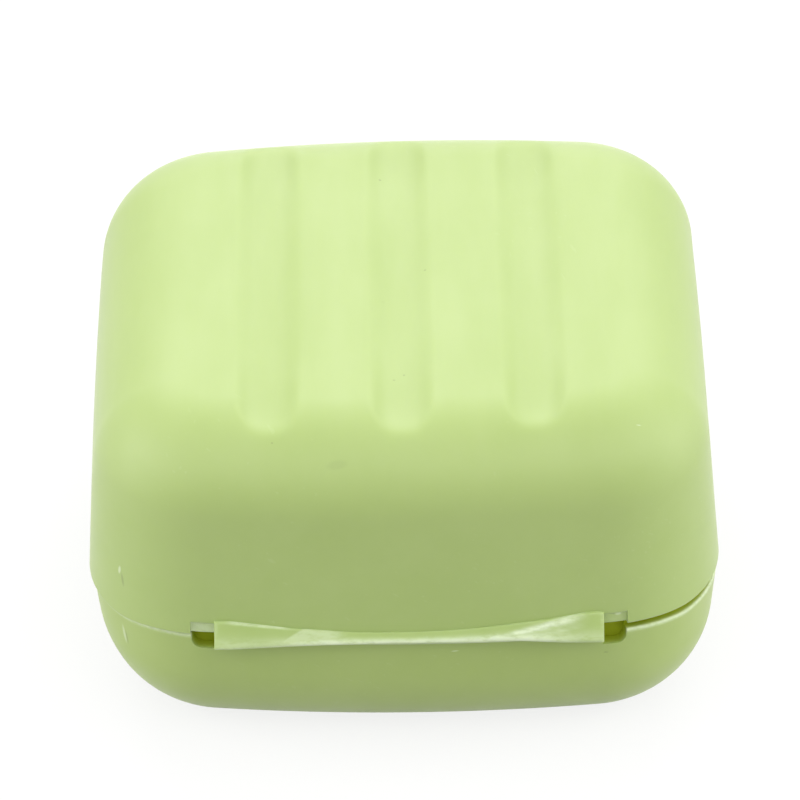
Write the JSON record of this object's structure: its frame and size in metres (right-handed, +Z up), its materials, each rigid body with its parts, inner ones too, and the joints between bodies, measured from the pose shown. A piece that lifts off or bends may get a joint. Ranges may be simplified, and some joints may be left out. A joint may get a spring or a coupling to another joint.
{
  "type": "travel soap box",
  "caption": "Clam-shell soap box with round corners, a grooved lid on a thin moulded hinge web, a front flap clasp and a lift-out slotted draining rack.",
  "frame": {"origin": "centre of the flat underside the tray stands on", "axes": "+Z up, +Y towards the hinge at the rear, -Y towards the clasp at the front, +X along the hinge"},
  "size_m": [0.1, 0.1031, 0.0598],
  "materials": {
    "tray_plastic": "satin moulded",
    "lid_plastic": "satin moulded",
    "web_plastic": "satin, whitened by folding",
    "clasp_plastic": "satin moulded",
    "rack_plastic": "satin moulded"
  },
  "bodies": {
    "tray": {"base_tray": "tray_plastic", "hinge_web": "web_plastic"},
    "lid": {"lid_shell": "lid_plastic", "clasp_web": "web_plastic"},
    "clasp": {"front_clasp": "clasp_plastic"},
    "rack": {"drain_rack": "rack_plastic"}
  },
  "joints": [
    {"name": "lid_hinge", "type": "hinge", "parent": "tray", "child": "lid", "pos_m": [0, 0.05005, 0.02275], "axis": [-1, 0, 0], "range_deg": [0, 140], "deforming": ["hinge_web"]},
    {"name": "clasp_hinge", "type": "hinge", "parent": "lid", "child": "clasp", "pos_m": [0, -0.0491, 0.03195], "axis": [-1, 0, 0], "range_deg": [0, 95], "deforming": ["clasp_web"]},
    {"name": "rack_lift", "type": "slide", "parent": "tray", "child": "rack", "axis": [0, 0, 1], "range_m": [0, 0.03]}
  ]
}
